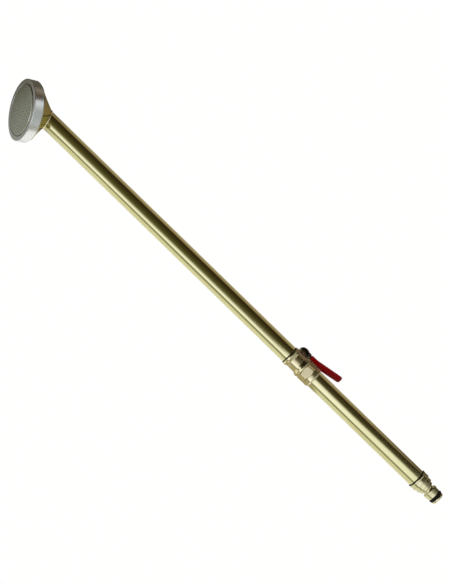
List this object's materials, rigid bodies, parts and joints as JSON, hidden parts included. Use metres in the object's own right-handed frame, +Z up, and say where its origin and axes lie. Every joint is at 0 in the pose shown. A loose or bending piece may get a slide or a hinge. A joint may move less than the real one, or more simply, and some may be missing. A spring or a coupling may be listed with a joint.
{
  "type": "watering wand",
  "caption": "Bent-head brass watering wand with a round screw-on sieve rose, a quarter-turn ball valve with a red lever, and a quick-connect hose plug.",
  "frame": {"origin": "middle of the lying wand's box, on the ground that it lies on", "axes": "+Z up from the ground; +X along the tube towards the hose plug, which is 1.7 degrees lower; the rose is at -X and faces -Y and up; the lever is on the +Y side"},
  "size_m": [0.6242, 0.0676, 0.0662],
  "materials": {
    "tube_brass": "drawn and polished, faint lengthwise draw lines",
    "turned_brass": "turned, fine tool rings",
    "cast_brass": "satin sand-blasted casting, dull cream",
    "solder": "wiped solder, satin",
    "satin_aluminium": "satin turned",
    "sieve_steel": "satin pressed stainless steel with spray holes",
    "zinc_steel": "zinc-plated, slightly dull",
    "ball_chrome": "polished",
    "red_vinyl": "dipped soft vinyl, satin gloss",
    "white_ptfe": "waxy white",
    "nylon": "natural white",
    "black_rubber": "smooth, lightly greased"
  },
  "bodies": {
    "wand": {"rose_gasket": "black_rubber", "rose_funnel": "tube_brass", "head_solder": "solder", "upper_tube": "tube_brass", "valve_seal": "black_rubber", "valve_body": "cast_brass", "valve_end_piece": "cast_brass", "seat_head_side": "white_ptfe", "seat_hose_side": "white_ptfe", "thrust_washer": "white_ptfe", "stem_packing": "white_ptfe", "gland_nut": "cast_brass", "valve_solder": "solder", "lower_tube": "tube_brass", "plug_seal": "black_rubber", "hose_plug": "turned_brass", "plug_o_ring": "black_rubber"},
    "lever": {"lever_plate": "zinc_steel", "lever_nut": "zinc_steel", "nut_insert": "nylon", "lever_sleeve": "red_vinyl", "valve_stem": "cast_brass", "valve_ball": "ball_chrome"},
    "sieve": {"sieve_plate": "sieve_steel"},
    "screw_ring": {"rose_ring": "satin_aluminium"}
  },
  "joints": [
    {"name": "lever_turn", "type": "hinge", "parent": "wand", "child": "lever", "pos_m": [0.10281, 0.00637, 0.0164], "axis": [0.0118, -0.9184, 0.3954], "range_deg": [0, 90]},
    {"name": "sieve_lift", "type": "slide", "parent": "wand", "child": "sieve", "axis": [-0.6984, -0.6494, 0.3007], "range_m": [0, 0.0045]},
    {"name": "ring_unscrew", "type": "hinge", "parent": "sieve", "child": "screw_ring", "pos_m": [-0.2888, -0.00896, 0.0347], "axis": [-0.6984, -0.6494, 0.3007], "range_deg": [0, 1080]}
  ],
  "couplings": [
    {"joint": "sieve_lift", "follows": "ring_unscrew", "m_per_rad": 0.00023873}
  ]
}
